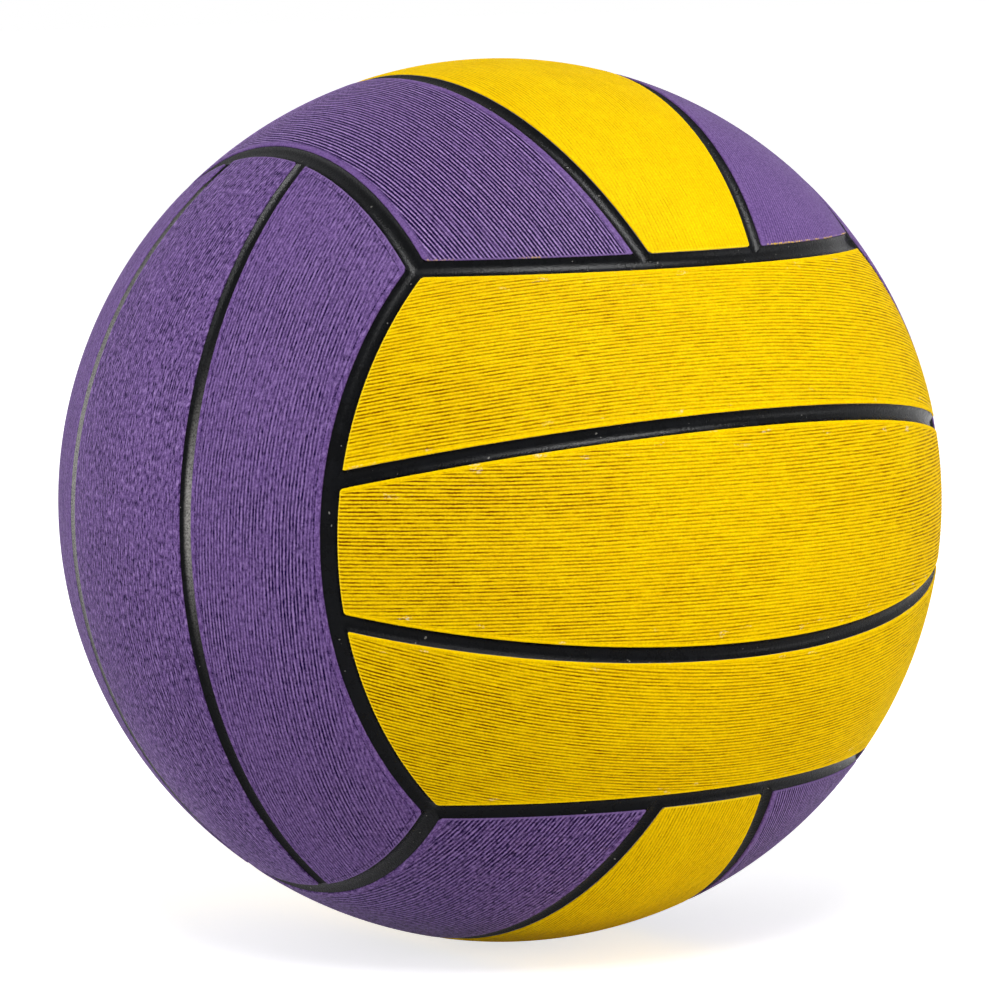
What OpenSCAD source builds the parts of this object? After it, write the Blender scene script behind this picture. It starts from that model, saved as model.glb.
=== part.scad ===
// Water polo ball with eighteen rubber strips, three to each of six faces.
// The origin is the centre of the ball, +Z is up and the valve points along +Y.

/* [Ball] */
// Diameter of the ball over its strips
ball_d = 220; // [200:1:230]
// Tilt of each seam inside a face from that face's middle plane, in degrees
seam_tilt = 14.2; // [11:0.1:17]
// Width of the black channel between two faces
face_channel_w = 4.4; // [2.5:0.1:6]
// Width of the black channel between two strips of one face
strip_channel_w = 3.9; // [2.5:0.1:6]

/* [Wall] */
// Thickness of a coloured rubber strip
panel_t = 1; // [0.8:0.05:1.8]
// Bevel along a strip's long sides
side_bevel = 0.35; // [0.25:0.05:0.6]
// Bevel across a strip's ends
end_bevel = 0.2; // [0.1:0.05:0.2]
// Lean of a strip's long outer wall from square, in degrees
panel_lean = 3; // [2:0.5:5]
// Thickness of the black rubber carcass under the strips
carcass_t = 0.6; // [0.5:0.05:1.5]
// Depth of the hollow that runs along each channel's floor
hollow_depth = 0.25; // [0.1:0.05:0.4]
// Thickness of the wound thread layer
winding_t = 0.4; // [0.2:0.05:1]
// Thickness of the bladder
bladder_t = 0.8; // [0.4:0.05:1.5]

/* [Valve housing] */
// Diameter of the housing's neck, where it passes through the wall
neck_d = 9; // [8:0.1:12]
// Depth of the neck's face below the outside of the ball
neck_recess = 0.3; // [0.1:0.05:0.6]
// Gap round the neck in the strip that it shows through
neck_gap = 0.15; // [0.05:0.05:0.3]
// Diameter of the flange bonded to the inside of the bladder
flange_d = 28; // [20:0.5:40]
// Thickness of the flange at its rim
flange_t = 1.2; // [0.6:0.1:2]
// Thickness of the bond between the flange and the bladder
bond_t = 0.1; // [0.05:0.05:0.2]
// Diameter of the barrel inside the bladder
barrel_d = 8.4; // [7.6:0.1:11]
// Length of the whole housing along its axis
housing_l = 20; // [18:0.5:26]
// Diameter of the opening from the barrel into the bladder
vent_d = 3; // [2.6:0.1:4]

/* [Valve plug] */
// Diameter of the plug's head
head_d = 6; // [5:0.1:7]
// Thickness of the plug's head
head_t = 1.2; // [0.8:0.1:2]
// Diameter of the plug's shank
shank_d = 4.4; // [3.6:0.1:4.8]
// Diameter of the ridge that snaps into the housing
ridge_d = 5.6; // [5:0.1:6.4]
// Length of the ridge
ridge_l = 2.4; // [1:0.1:3]
// Distance from the plug's face to the start of its ridge
ridge_at = 11; // [10:0.5:13]
// Length of the plug
plug_l = 17; // [16:0.5:17.5]
// Diameter of the guide hole for the inflating needle
needle_d = 2.1; // [1.6:0.05:2.6]
// Length of the guide hole's straight wall
needle_l = 8; // [5:0.5:9]
// Diameter of the guide hole's funnel at the plug's face
funnel_d = 3.2; // [2.8:0.1:3.6]
// Depth of the funnel
funnel_depth = 0.6; // [0.3:0.1:1]
// Width across the slit's open lips
slit_w = 0.2; // [0.1:0.05:0.3]
// Length of the slit across the plug
slit_l = 1.6; // [1:0.1:2]

/* [Hidden] */
$fn = 144;

// Colours of the two sorts of strip and of what lies under them
YELLOW = "#f5cf08";
PURPLE = "#67478f";
BLACK = "#17171a";
THREAD = "#e4e0d2";
BUTYL = "#2b2b2e";
PLUG_RUBBER = "#232326";

// Outer radius of each layer, from the outside in
ball_r = ball_d / 2;
carcass_r = ball_r - panel_t;
winding_r = carcass_r - carcass_t;
bladder_r = winding_r - winding_t;
air_r = bladder_r - bladder_t;

// Radius of the flange's domed face, and distances along the valve's axis from the ball's centre
flange_r = air_r - bond_t;
flange_rim = sqrt(flange_r * flange_r - flange_d * flange_d / 4);
flange_foot = flange_rim - flange_t;
neck_top = ball_r - neck_recess;
barrel_end = neck_top - housing_l;
guide_floor = neck_top - funnel_depth - needle_l;

// Angle from a face's centre line to the seams where six equal faces meet
FACE_ANGLE = acos(1 / sqrt(3));
// Half the angle that a channel between faces takes up, seen from the centre
face_channel_angle = asin(face_channel_w / 2 / ball_r);
// Angle along a seam inside a face from its middle to the face's edge
seam_reach = acos(cos(FACE_ANGLE) / cos(seam_tilt));

// How far cutters run past what they cut
overrun = 2;

// Angles that turn a face's own frame to its place: strips along X, face along +Z
FRONT_ANGLES = [90, 0, 0];
BACK_ANGLES = [90, 0, 180];
LEFT_ANGLES = [0, -90, 0];
RIGHT_ANGLES = [0, 90, 0];
TOP_ANGLES = [0, 0, 90];
BOTTOM_ANGLES = [180, 0, 90];
ALL_ANGLES = [
    FRONT_ANGLES, BACK_ANGLES, LEFT_ANGLES, RIGHT_ANGLES, TOP_ANGLES, BOTTOM_ANGLES,
];

// A point of a profile, by its distance from the centre and its angle from the axis
function polar(r, angle) = [r * sin(angle), r * cos(angle)];

// A cone about +Z through the strips' layer. It meets the carcass at an angle from +Z, its wall
// leans out from square by lean, and its mouth opens or closes by a bevel: sign is 1 or -1.
module face_cone(angle, lean, bevel, sign) {
    wall = panel_t - bevel;
    shift = tan(lean) * wall;
    foot = polar(carcass_r, angle);
    low = polar(carcass_r + wall, angle + asin(shift / ball_r));
    high = polar(ball_r, angle + asin((shift + sign * bevel) / ball_r));
    start = foot - (low - foot) * (overrun / wall);
    past = high + (high - low) * (overrun / bevel);
    rotate_extrude() polygon([[0, start.y], start, low, past, [0, ball_d]]);
}

// All that lies on the +Z side of a seam through the centre, drawn back by its bevel
module beside_seam() {
    foot = strip_channel_w / 2;
    rotate_extrude() polygon([
        [0, foot],
        [ball_r - side_bevel, foot],
        [ball_r + overrun, foot + side_bevel + overrun],
        [ball_r + overrun, ball_r],
        [0, ball_r],
    ]);
}

// Shell between two radii about the ball's centre
module shell(outer_r, inner_r) {
    difference() {
        sphere(r = outer_r);
        sphere(r = inner_r);
    }
}

// Leans a seam's disc, which lies in a face's middle plane, to one side of the face
module leaned(side) {
    rotate([-side * (90 + seam_tilt), 0, 0]) children();
}

// The part of the strips' layer that one face holds, as far as its strips' ends
module face_cap() {
    intersection() {
        shell(ball_r, carcass_r);
        face_cone(FACE_ANGLE - face_channel_angle, 0, end_bevel, -1);
    }
}

// A face's middle strip, in the face's own frame
module middle_strip() {
    intersection() {
        face_cap();
        leaned(1) mirror([0, 0, 1]) beside_seam();
        leaned(-1) mirror([0, 0, 1]) beside_seam();
    }
}

// A face's outer strip, on its +Y side
module outer_strip() {
    difference() {
        intersection() {
            face_cap();
            leaned(1) beside_seam();
        }
        rotate([-90, 0, 0])
            face_cone(FACE_ANGLE + face_channel_angle, panel_lean, side_bevel, 1);
    }
}

// A strip in its place on the ball: side is 0 in the middle of a face, 1 on the +Y side of the
// face's own frame and -1 on its -Y side
module panel(face_angles, side, colour) {
    color(colour) rotate(face_angles)
        if (side == 0) middle_strip(); else rotate([0, 0, 90 - side * 90]) outer_strip();
}

module front_panel_upper() { panel(FRONT_ANGLES, 1, YELLOW); }
module front_panel_middle() { panel(FRONT_ANGLES, 0, YELLOW); }
module front_panel_lower() { panel(FRONT_ANGLES, -1, YELLOW); }
module back_panel_upper() { panel(BACK_ANGLES, 1, YELLOW); }
module back_panel_lower() { panel(BACK_ANGLES, -1, YELLOW); }
module left_panel_front() { panel(LEFT_ANGLES, -1, PURPLE); }
module left_panel_middle() { panel(LEFT_ANGLES, 0, PURPLE); }
module left_panel_rear() { panel(LEFT_ANGLES, 1, PURPLE); }
module right_panel_front() { panel(RIGHT_ANGLES, -1, PURPLE); }
module right_panel_middle() { panel(RIGHT_ANGLES, 0, PURPLE); }
module right_panel_rear() { panel(RIGHT_ANGLES, 1, PURPLE); }
module top_panel_left() { panel(TOP_ANGLES, 1, PURPLE); }
module top_panel_middle() { panel(TOP_ANGLES, 0, YELLOW); }
module top_panel_right() { panel(TOP_ANGLES, -1, PURPLE); }
module bottom_panel_left() { panel(BOTTOM_ANGLES, -1, PURPLE); }
module bottom_panel_middle() { panel(BOTTOM_ANGLES, 0, YELLOW); }
module bottom_panel_right() { panel(BOTTOM_ANGLES, 1, PURPLE); }

// Places what is drawn along +Z on the valve's axis
module on_valve_axis() {
    rotate(BACK_ANGLES) children();
}

// The strip that the valve shows through
module back_panel_middle() {
    hole_r = neck_d / 2 + neck_gap;
    bevel_h = side_bevel + overrun;
    color(YELLOW) on_valve_axis() difference() {
        middle_strip();
        cylinder(h = ball_d, r = hole_r);
        translate([0, 0, ball_r - side_bevel])
            cylinder(h = bevel_h, r1 = hole_r, r2 = hole_r + bevel_h);
    }
}

// Round cutter that hollows a channel's floor: radius from its width and depth
function hollow_r(w) = (w * w / 4 + hollow_depth * hollow_depth) / (2 * hollow_depth);

// Stretch of round cutter along a circle at an angle from +Z, centred on the +X side
module hollow_cut(w, angle, sweep) {
    r = hollow_r(w);
    place = polar(carcass_r - hollow_depth + r, angle);
    rotate([0, 0, -sweep / 2]) rotate_extrude(angle = sweep) translate(place) circle(r = r);
}

// Hollows for the channels that one face owns: its two seams and its two long sides
module face_hollows() {
    for (side = [-1, 1]) {
        rotate([-side * 90, 0, 0]) rotate([0, 0, -side * 90])
            hollow_cut(face_channel_w, FACE_ANGLE, 90);
        leaned(side) rotate([0, 0, -side * 90])
            hollow_cut(strip_channel_w, 90, 2 * seam_reach);
    }
}

module carcass() {
    color(BLACK) difference() {
        shell(carcass_r, winding_r);
        for (face_angles = ALL_ANGLES) rotate(face_angles) face_hollows();
        on_valve_axis() cylinder(h = ball_d, d = neck_d);
    }
}

module winding() {
    color(THREAD) difference() {
        shell(winding_r, bladder_r);
        on_valve_axis() cylinder(h = ball_d, d = neck_d);
    }
}

module bladder() {
    color(BUTYL) difference() {
        shell(bladder_r, air_r);
        on_valve_axis() cylinder(h = ball_d, d = neck_d);
    }
}

// Outline of the plug, which its socket in the housing shares; the socket runs on upwards
module plug_body(extra) {
    translate([0, 0, neck_top - head_t]) cylinder(h = head_t + extra, d = head_d);
    translate([0, 0, neck_top - plug_l]) cylinder(h = plug_l, d = shank_d);
    translate([0, 0, neck_top - ridge_at - ridge_l]) cylinder(h = ridge_l, d = ridge_d);
}

module valve_housing() {
    color(BLACK) on_valve_axis() difference() {
        union() {
            translate([0, 0, barrel_end]) cylinder(h = flange_rim - barrel_end, d = barrel_d);
            intersection() {
                translate([0, 0, flange_foot]) cylinder(h = ball_d, d = flange_d);
                sphere(r = flange_r);
            }
            translate([0, 0, flange_foot]) cylinder(h = neck_top - flange_foot, d = neck_d);
        }
        plug_body(overrun);
        translate([0, 0, barrel_end - overrun]) cylinder(h = housing_l, d = vent_d);
    }
}

module valve_plug() {
    color(PLUG_RUBBER) on_valve_axis() difference() {
        plug_body(0);
        translate([0, 0, guide_floor]) cylinder(h = ball_d, d = needle_d);
        translate([0, 0, neck_top - funnel_depth])
            cylinder(h = funnel_depth, d1 = needle_d, d2 = funnel_d);
        translate([-slit_l / 2, -slit_w / 2, neck_top - plug_l - overrun])
            cube([slit_l, slit_w, overrun + plug_l - funnel_depth - needle_l + slit_w]);
    }
}

front_panel_upper();
front_panel_middle();
front_panel_lower();
back_panel_upper();
back_panel_middle();
back_panel_lower();
left_panel_front();
left_panel_middle();
left_panel_rear();
right_panel_front();
right_panel_middle();
right_panel_rear();
top_panel_left();
top_panel_middle();
top_panel_right();
bottom_panel_left();
bottom_panel_middle();
bottom_panel_right();
carcass();
winding();
bladder();
valve_housing();
valve_plug();
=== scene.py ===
"""Looks of an inflated water polo ball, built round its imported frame.

Eighteen die-cut strips of ribbed rubber lie on a black rubber carcass, whose channels show between
them. Under the carcass lie a winding of nylon thread and a butyl bladder, and a rubber valve passes
through the wall at the back. Lengths are in metres, in the frame's own axes: +Z is up, -Y is the
middle of the front face and +Y points out through the valve. A face's surface is first worked out on
a ball of radius one, in the axes that Face gives it.
"""

import logging
import math
from collections.abc import Callable, Iterator, Sequence
from contextlib import contextmanager
from dataclasses import dataclass, field
from enum import Enum
from functools import partial
from typing import Any, NamedTuple

import bpy
import numpy as np
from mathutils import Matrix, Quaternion, Vector


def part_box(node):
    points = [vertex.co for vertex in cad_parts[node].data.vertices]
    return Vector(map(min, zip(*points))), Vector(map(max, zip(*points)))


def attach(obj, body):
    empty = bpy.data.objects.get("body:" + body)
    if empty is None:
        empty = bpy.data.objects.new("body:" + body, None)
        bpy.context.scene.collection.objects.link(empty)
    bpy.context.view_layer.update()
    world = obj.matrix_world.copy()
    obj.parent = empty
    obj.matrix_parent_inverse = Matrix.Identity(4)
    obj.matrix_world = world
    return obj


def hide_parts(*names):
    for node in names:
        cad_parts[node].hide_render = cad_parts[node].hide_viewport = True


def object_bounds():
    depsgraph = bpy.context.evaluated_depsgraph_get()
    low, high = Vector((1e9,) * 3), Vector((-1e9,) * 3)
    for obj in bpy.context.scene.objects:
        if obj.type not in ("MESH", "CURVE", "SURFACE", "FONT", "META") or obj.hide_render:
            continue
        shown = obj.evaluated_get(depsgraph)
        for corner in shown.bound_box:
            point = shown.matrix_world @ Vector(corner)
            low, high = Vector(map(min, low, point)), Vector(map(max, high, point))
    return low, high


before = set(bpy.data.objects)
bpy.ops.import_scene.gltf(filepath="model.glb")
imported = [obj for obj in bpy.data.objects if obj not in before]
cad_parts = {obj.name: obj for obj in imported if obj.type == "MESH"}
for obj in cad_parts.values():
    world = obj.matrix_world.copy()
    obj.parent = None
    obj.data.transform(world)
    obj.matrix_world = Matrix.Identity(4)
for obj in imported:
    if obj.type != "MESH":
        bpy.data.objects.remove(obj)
CAD_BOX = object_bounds()

MM = 0.001
BODY = "root"
# Attributes that a strip's mesh carries for its material
RIB_COURSE = "rib_course"
EDGE_GAPS = "edge_gaps"
STRIP_WEAR = "strip_wear"
# Mould dust left on the carcass, as a share
# Pale film on the carcass in two seams, as a share: a painted highlight with a dusty grain
DUSTY_HIGHLIGHT = "dusty_seam_highlight"
# Sine of the angle at which two faces meet, on a ball of radius one
BORDER = 1 / math.sqrt(3)
# How far round the valve's hole a grid is bent, in radii of the hole past its edge
HOLE_BEND = 1.6

AddNode = Callable[..., bpy.types.Node]
log = logging.getLogger("ball")


def linear(code: str) -> tuple[float, float, float, float]:
    """Turns an sRGB hex colour into Blender's linear colour.

    Args:
        code: Colour as #rrggbb.

    Returns:
        Red, green, blue and an alpha of one.
    """
    shares = [int(code[k:k + 2], 16) / 255 for k in (1, 3, 5)]
    return (*[s / 12.92 if s <= 0.04045 else ((s + 0.055) / 1.055) ** 2.4 for s in shares], 1.0)


def add_node(
    tree: bpy.types.NodeTree,
    kind: str,
    inputs: Sequence[Any] | dict[int | str, Any] = (),
    **settings: Any,
) -> bpy.types.Node:
    """Adds a node with its settings, values and links.

    Args:
        tree: Node tree that gets the node.
        kind: Blender's name for the node type, after the word ShaderNode.
        inputs: What each input gets, in order or by name or number: a value, an output to link from,
            or a node, which stands for its first output in use.
        settings: Properties of the node itself.

    Returns:
        The new node.
    """
    made = tree.nodes.new("ShaderNode" + kind)
    for name, value in settings.items():
        setattr(made, name, value)
    for key, value in inputs.items() if isinstance(inputs, dict) else enumerate(inputs):
        if isinstance(value, bpy.types.Node):
            value = next(output for output in value.outputs if output.enabled)
        if isinstance(value, bpy.types.NodeSocket):
            tree.links.new(value, made.inputs[key])
        else:
            made.inputs[key].default_value = value
    return made


def empty_nodes(owner: bpy.types.Material | bpy.types.World) -> AddNode:
    """Empties the nodes of a material or a world.

    Args:
        owner: The material or world.

    Returns:
        The function that adds a node to it.
    """
    owner.use_nodes = True
    owner.node_tree.nodes.clear()
    return partial(add_node, owner.node_tree)


def share_of(add: AddNode, *factors: Any) -> Any:
    """Multiplies factors, to give the share in which a pattern shows.

    Args:
        add: Adds a node to the material.
        factors: Values, outputs or nodes. A tuple is one of these with the start and stop of its
            range, and the two values onto which they are mapped first.

    Returns:
        The product.
    """
    product, *others = (add("MapRange", each) if isinstance(each, tuple) else each for each in factors)
    for other in others:
        product = add("Math", [product, other], operation="MULTIPLY")
    return product


def read(items: bpy.types.bpy_prop_collection, name: str, width: int, kind: type) -> np.ndarray:
    """Reads one property of a mesh's points, edges or corners.

    Args:
        items: The points, edges or corners.
        name: Name of the property.
        width: How many numbers each of them has.
        kind: Type of the numbers.

    Returns:
        The numbers, one row each.
    """
    found = np.empty(len(items) * width, kind)
    items.foreach_get(name, found)
    return found.reshape(-1, width)


def read_points(mesh: bpy.types.Mesh) -> np.ndarray:
    """Reads a mesh's points, one row each."""
    return read(mesh.vertices, "co", 3, np.float32).astype(float)


def write_points(mesh: bpy.types.Mesh, points: np.ndarray) -> None:
    """Moves a mesh's points, one row each."""
    mesh.vertices.foreach_set("co", points.astype(np.float32).ravel())
    mesh.update()


def write_vectors(mesh: bpy.types.Mesh, name: str, *columns: Any) -> None:
    """Gives a mesh's points an attribute of three numbers each.

    Args:
        mesh: The mesh.
        name: Name of the attribute.
        columns: Its three numbers, each for all points at once or one for each point.
    """
    values = np.empty((len(mesh.vertices), 3), np.float32)
    for number, column in enumerate(columns):
        values[:, number] = column
    mesh.attributes.new(name, "FLOAT_VECTOR", "POINT").data.foreach_set("vector", values.ravel())


def open_edges(mesh: bpy.types.Mesh) -> np.ndarray:
    """Marks the edges that only one face has."""
    used = read(mesh.loops, "edge_index", 1, np.int32).ravel()
    return np.bincount(used, minlength=len(mesh.edges)) == 1


def select_only(mesh: bpy.types.Mesh, points: np.ndarray, edges: np.ndarray) -> None:
    """Selects some of a mesh's points and edges, and nothing else.

    Args:
        mesh: Mesh that isn't in edit mode.
        points: True for each point to select.
        edges: True for each edge to select.
    """
    mesh.polygons.foreach_set("select", np.zeros(len(mesh.polygons), bool))
    mesh.edges.foreach_set("select", edges)
    mesh.vertices.foreach_set("select", points)


@contextmanager
def editing(piece: bpy.types.Object, kind: str = "VERT") -> Iterator[None]:
    """Puts a piece in edit mode for a while.

    Args:
        piece: The piece.
        kind: What is selected there, VERT or EDGE.

    Yields:
        Nothing.
    """
    bpy.context.view_layer.objects.active = piece
    bpy.ops.object.mode_set(mode="EDIT")
    bpy.ops.mesh.select_mode(type=kind)
    yield
    bpy.ops.object.mode_set(mode="OBJECT")


def eased(share: np.ndarray) -> np.ndarray:
    """Rises smoothly from zero to one as share does, and stays there outside."""
    held = np.clip(share, 0, 1)
    return held * held * (3 - 2 * held)


def bell(distance: np.ndarray, width: float) -> np.ndarray:
    """Falls smoothly from one as a distance grows, to about a third at the width."""
    return np.exp(-((distance / width) ** 2))


def unit(rows: np.ndarray) -> np.ndarray:
    """Gives each row a length of one."""
    return rows / np.maximum(np.linalg.norm(rows, axis=1, keepdims=True), 1e-9)


def angle_of(sine: np.ndarray) -> np.ndarray:
    """Gives the angle of a sine, which may lie a rounding beyond one."""
    return np.arcsin(np.clip(sine, -1, 1))


def ring_points(lean: np.ndarray, offset: np.ndarray, angle: np.ndarray) -> np.ndarray:
    """Finds points on rings that planes cut from a ball of radius one.

    Args:
        lean: Lean of each point's plane about the X axis.
        offset: The plane's distance from the centre.
        angle: Place round the ring, from its top.

    Returns:
        Points, one row each, in a face's axes.
    """
    radius = np.sqrt(1 - offset**2)
    return np.stack([
        radius * np.sin(angle),
        offset * np.cos(lean) + radius * np.cos(angle) * np.sin(lean),
        radius * np.cos(angle) * np.cos(lean) - offset * np.sin(lean),
    ], axis=1)


def ring_reach(lean: np.ndarray, offset: np.ndarray, height: np.ndarray | float) -> np.ndarray:
    """Finds how far round such a ring its points lie above a height.

    Args:
        lean: Lean of each ring's plane about the X axis.
        offset: The plane's distance from the centre.
        height: Place along Z.

    Returns:
        Angles from the ring's top.
    """
    top = np.sqrt(1 - offset**2) * np.cos(lean)
    return np.arccos(np.clip((height + offset * np.sin(lean)) / top, -1, 1))


class Drift:
    """Smooth random values along many rows, each row with a course of its own."""

    def __init__(self, rng: np.random.Generator, spacing: float, rows: int = 97) -> None:
        """Draws the values.

        Args:
            rng: Source of random numbers.
            spacing: Distance along a row between two drawn values.
            rows: How many rows have a course of their own.
        """
        self.spacing = spacing
        self.values = rng.random((rows, 509))
        self.starts = rng.random(rows) * 509

    def at(self, row: np.ndarray, along: np.ndarray) -> np.ndarray:
        """Reads the values.

        Args:
            row: Whole number of the row, for each point.
            along: Distance along the row, for each point.

        Returns:
            Values from zero to one.
        """
        row = row.astype(int) % len(self.values)
        place = along / self.spacing + self.starts[row]
        knot = np.floor(place).astype(int)
        knots = self.values.shape[1]
        before, after = self.values[row, knot % knots], self.values[row, (knot + 1) % knots]
        return before + (after - before) * eased(place - knot)

    def over(self, across: np.ndarray, along: np.ndarray) -> np.ndarray:
        """Reads the values as a smooth field, blended from each row to the next.

        Args:
            across: Place across the rows, in rows.
            along: Distance along the rows.

        Returns:
            Values from zero to one.
        """
        row = np.floor(across)
        low = self.at(row, along)
        return low + (self.at(row + 1, along) - low) * eased(across - row)


class Face(Enum):
    """The ball's six faces, each with the ball's directions of its own X, Y and Z axes.

    A face's strips lie along its X, follow each other along its Y, and face out along its Z.
    """

    FRONT = ((1, 0, 0), (0, 0, 1), (0, -1, 0))
    BACK = ((-1, 0, 0), (0, 0, 1), (0, 1, 0))
    LEFT = ((0, 0, 1), (0, 1, 0), (-1, 0, 0))
    RIGHT = ((0, 0, -1), (0, 1, 0), (1, 0, 0))
    TOP = ((0, 1, 0), (-1, 0, 0), (0, 0, 1))
    BOTTOM = ((0, 1, 0), (1, 0, 0), (0, 0, -1))

    def to_ball(self, points: np.ndarray) -> np.ndarray:
        """Turns points from the face's own axes to the ball's."""
        return points @ np.array(self.value, float)


class Place(Enum):
    """Where a strip lies in its face, as a sign along the face's Y axis."""

    PLUS = 1
    MIDDLE = 0
    MINUS = -1


@dataclass(frozen=True)
class BallForm:
    """Shape that the strips and the carcass share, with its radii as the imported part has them."""

    radius: float = CAD_BOX[1].z
    foot_radius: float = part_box("carcass")[1].z
    face_channel: float = 4.4 * MM
    strip_channel: float = 3.9 * MM
    seam_tilt: float = math.radians(14.2)
    face_angle: float = math.acos(BORDER)

    @property
    def end_cosine(self) -> float:
        """Height of a strip's end above the ball's centre."""
        return math.cos(self.face_angle - self.face_channel / 2 / self.radius)

    @property
    def outer_sine(self) -> float:
        """Distance of an outer strip's outer edge along its face's Y."""
        return math.cos(self.face_angle + self.face_channel / 2 / self.radius)

    @property
    def seam_gap(self) -> float:
        """Half of a seam's channel."""
        return self.strip_channel / 2 / self.radius


FORM = BallForm()


def flat_grid(name: str, rows: int, columns: int) -> tuple[bpy.types.Object, np.ndarray]:
    """Adds a flat grid, to be bent to a surface.

    Args:
        name: Name of the grid's object.
        rows: How many lines it has along its X axis.
        columns: How many lines it has along its Y axis.

    Returns:
        The grid, and the numbers of each point's two lines.
    """
    bpy.ops.object.select_all(action="DESELECT")
    bpy.ops.mesh.primitive_grid_add(x_subdivisions=rows - 1, y_subdivisions=columns - 1, size=2)
    grid = bpy.context.object
    grid.name = grid.data.name = name
    share = (read_points(grid.data)[:, :2] + 1) / 2
    return grid, np.round(share * [rows - 1, columns - 1]).astype(int)


def open_hole(points: np.ndarray, lines: np.ndarray, radius: float) -> np.ndarray:
    """Bends a face's grid round a hole at the face's middle.

    Args:
        points: Points, moved in place.
        lines: Numbers of each point's two grid lines, which are odd in number.
        radius: Radius of the hole.

    Returns:
        True for each point that lies within the hole.
    """
    steps = lines - lines.max(axis=0) / 2
    flat = points[:, :2] * FORM.radius
    inner = np.max(np.abs(flat), axis=1) < radius
    reach = np.abs(steps) / np.maximum(np.abs(steps[inner]).max(axis=0), 1)
    level = reach.max(axis=1)
    pull = 1 - eased((level - 1) / HOLE_BEND)
    round_hole = unit(np.sign(flat) * reach) * (radius * level)[:, None]
    bent = (flat + (round_hole - flat) * pull[:, None]) / FORM.radius
    points[:, :2] = bent
    points[:, 2] = np.sqrt(1 - np.sum(bent**2, axis=1))
    return level < 1 - 1e-6


def cut_out(sheet: bpy.types.Object, inside: np.ndarray) -> None:
    """Deletes some points of a sheet, and the faces round them.

    Args:
        sheet: The sheet.
        inside: True for each point to delete.
    """
    select_only(sheet.data, inside, np.zeros(len(sheet.data.edges), bool))
    with editing(sheet):
        bpy.ops.mesh.delete(type="VERT")


def join_into(target: bpy.types.Object, others: Sequence[bpy.types.Object]) -> None:
    """Joins other objects into one.

    Args:
        target: Object that stays.
        others: Objects that go into it.
    """
    bpy.ops.object.select_all(action="DESELECT")
    for each in (*others, target):
        each.select_set(True)
    bpy.context.view_layer.objects.active = target
    bpy.ops.object.join()


def bridge_open_loops(sheet: bpy.types.Object, chosen: np.ndarray) -> None:
    """Bridges two open loops of edges.

    Args:
        sheet: Object that has both loops.
        chosen: True for each edge of the loops.
    """
    marked = np.zeros(len(sheet.data.vertices), bool)
    marked[read(sheet.data.edges, "vertices", 2, np.int32)[chosen]] = True
    select_only(sheet.data, marked, chosen)
    with editing(sheet, "EDGE"):
        bpy.ops.mesh.bridge_edge_loops()


def face_outwards(shell: bpy.types.Object) -> None:
    """Turns all faces of a closed object outwards.

    Args:
        shell: The object.
    """
    with editing(shell):
        bpy.ops.mesh.select_all(action="SELECT")
        bpy.ops.mesh.normals_make_consistent(inside=False)


def merge_doubles(piece: bpy.types.Object, gap: float) -> None:
    """Merges a piece's points that lie closer together than a gap.

    Args:
        piece: The piece.
        gap: The gap.
    """
    with editing(piece):
        bpy.ops.mesh.select_all(action="SELECT")
        bpy.ops.mesh.remove_doubles(threshold=gap)
        bpy.ops.mesh.delete_loose()


def dress(
    piece: bpy.types.Object, node: str, rubber: bpy.types.Material, crease: float
) -> None:
    """Smooths a piece, gives it its material and sets it in its node's place.

    Args:
        piece: The piece.
        node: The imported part's node that it replaces.
        rubber: Its material.
        crease: Angle in degrees from which an edge stays sharp.
    """
    bpy.ops.object.select_all(action="DESELECT")
    piece.select_set(True)
    bpy.context.view_layer.objects.active = piece
    bpy.ops.object.shade_smooth_by_angle(angle=math.radians(crease))
    piece.data.materials.append(rubber)
    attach(piece, BODY)
    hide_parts(node)
    log.info("%s: %d faces", piece.name, len(piece.data.polygons))


@dataclass(frozen=True)
class Ribbing:
    """Fine ribs that a ribbed liner in the mould leaves on a strip."""

    pitch: float = 0.85 * MM
    depth: float = 0.15 * MM
    # Tilt of the ribs' plane from the face's middle plane, and its turn about the face's Z, in degrees
    tilt: float = 0.0
    skew: float = 0.0
    # How far all ribs drift together, in ribs, over what length, and over how many ribs
    sway: float = 0.9
    sway_length: float = 34 * MM
    sway_ribs: float = 16
    # Share of the pitch by which a groove strays, and over what length
    waver: float = 0.16
    waver_length: float = 9 * MM
    # How clear the ribs are at one end of the strip, at its middle and at its other end
    clarity: tuple[float, float, float] = (0.8, 0.8, 0.8)
    # Share of the groove's depth that comes and goes along it, and over what length
    breaks: float = 0.3
    break_length: float = 3.5 * MM
    # Share of the depth lost where the ribs are smeared, and how far apart such patches lie
    smear: float = 0.2
    smear_length: float = 24 * MM
    # How far from an outer strip's outer edge the ribs begin to fade
    fade: float = 0.0


@dataclass(frozen=True)
class Wear:
    """How one strip came out of the mould, as shares."""

    # Strength of the dotted line inside the edges, of the leathery grain, and of scuffs or crumbs
    border: float = 0.3
    leather: float = 0.35
    marks: float = 0.0
    # Whether the dotted line follows the strip's ends too
    ends: bool = False


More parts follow.
